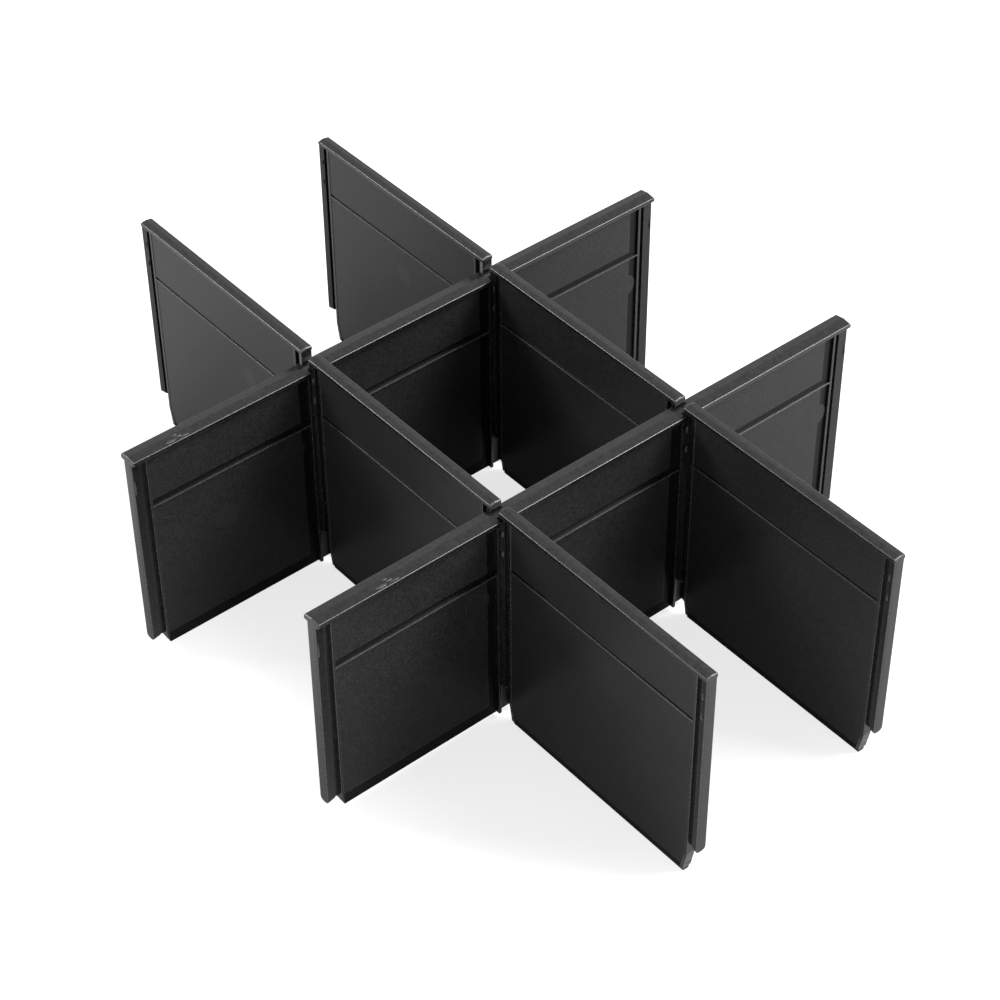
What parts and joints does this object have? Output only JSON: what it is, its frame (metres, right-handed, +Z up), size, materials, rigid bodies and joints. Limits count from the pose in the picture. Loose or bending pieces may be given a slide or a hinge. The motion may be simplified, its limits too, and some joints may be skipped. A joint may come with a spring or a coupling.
{
  "type": "interlocking divider set",
  "caption": "Free-standing grid of black plastic dividers for a tote, drawer or tool case: short dividers lift out of upright slots in long cross rails.",
  "frame": {"origin": "on the floor under the middle of the set", "axes": "+X along the divider rows from the rear rail to the front rail, +Y along the rails from the left row to the right row, +Z up"},
  "size_m": [0.3918, 0.3024, 0.1243],
  "materials": {
    "rail_plastic": "fine-grained moulded faces with smoother satin rims",
    "divider_plastic": "fine-grained moulded faces with smoother satin rims"
  },
  "bodies": {
    "rail_rear": {"rail_rear": "rail_plastic"},
    "rail_front": {"rail_front": "rail_plastic"},
    "divider_rear_left": {"divider_rear_left": "divider_plastic"},
    "divider_rear_right": {"divider_rear_right": "divider_plastic"},
    "divider_middle_left": {"divider_middle_left": "divider_plastic"},
    "divider_middle_right": {"divider_middle_right": "divider_plastic"},
    "divider_front_left": {"divider_front_left": "divider_plastic"},
    "divider_front_right": {"divider_front_right": "divider_plastic"}
  },
  "joints": [
    {"name": "rail_front_creep", "type": "slide", "parent": "rail_rear", "child": "rail_front", "axis": [0, 0, 1], "range_m": [-0.0023, 0.004]},
    {"name": "divider_rear_left_lift", "type": "slide", "parent": "rail_rear", "child": "divider_rear_left", "axis": [0, 0, 1], "range_m": [-0.0013, 0.102]},
    {"name": "divider_rear_right_lift", "type": "slide", "parent": "rail_rear", "child": "divider_rear_right", "axis": [0, 0, 1], "range_m": [-0.0013, 0.102]},
    {"name": "divider_middle_left_lift", "type": "slide", "parent": "rail_rear", "child": "divider_middle_left", "axis": [0, 0, 1], "range_m": [0, 0.102]},
    {"name": "divider_middle_right_lift", "type": "slide", "parent": "rail_rear", "child": "divider_middle_right", "axis": [0, 0, 1], "range_m": [0, 0.102]},
    {"name": "divider_front_left_lift", "type": "slide", "parent": "rail_front", "child": "divider_front_left", "axis": [0, 0, 1], "range_m": [0, 0.102]},
    {"name": "divider_front_right_lift", "type": "slide", "parent": "rail_front", "child": "divider_front_right", "axis": [0, 0, 1], "range_m": [0, 0.102]}
  ]
}
